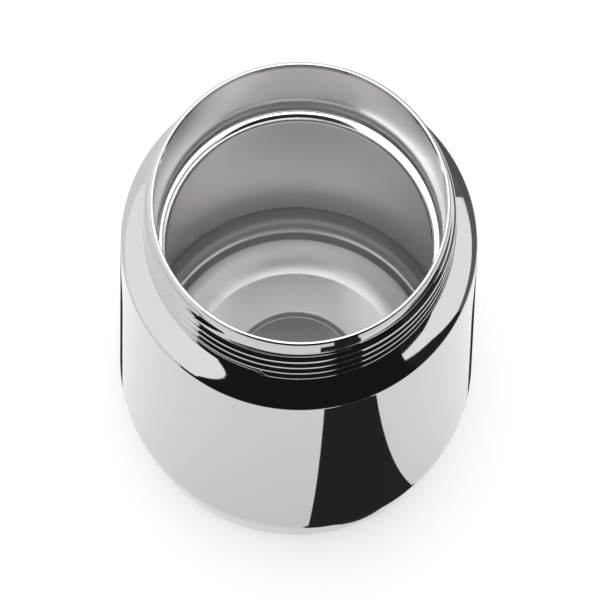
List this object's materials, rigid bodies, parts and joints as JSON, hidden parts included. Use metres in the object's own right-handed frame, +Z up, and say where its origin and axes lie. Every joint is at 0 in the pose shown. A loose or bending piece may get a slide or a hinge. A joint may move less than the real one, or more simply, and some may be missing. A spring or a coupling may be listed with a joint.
{
  "type": "travel mug",
  "caption": "Double-wall vacuum travel mug body in polished stainless steel, open at the top, with a screw-thread neck, sealing ledge and recessed base.",
  "frame": {"origin": "centre of the foot ring at the plane that the mug stands on", "axes": "+Z up along the mug's axis towards its mouth, -Y the front; the screw thread starts just left of the front"},
  "size_m": [0.088, 0.088, 0.134],
  "materials": {
    "polished_steel": "mirror-polished stainless steel",
    "satin_steel": "satin electropolished stainless steel, finely turned",
    "base_steel": "stainless steel with a fine turned grain",
    "plain_steel": "as-rolled stainless steel",
    "solder_glass": "fused, glossy",
    "getter_alloy": "pressed powder, matte",
    "foil": "bright copper-coloured radiation foil",
    "foil_tape": "white glass-cloth strip, matte",
    "adhesive": "cured sealant, dull"
  },
  "bodies": {
    "root": {"outer_shell": "polished_steel", "lip_weld": "polished_steel", "inner_liner": "satin_steel", "liner_weld": "satin_steel", "liner_bottom": "satin_steel", "outer_bottom": "polished_steel", "bottom_weld": "polished_steel", "glass_seal": "solder_glass", "getter_holder": "plain_steel", "getter_pellet": "getter_alloy", "wall_foil": "foil", "foil_tape": "foil_tape", "floor_foil": "foil", "base_cap": "base_steel", "cap_bond": "adhesive"}
  },
  "joints": []
}
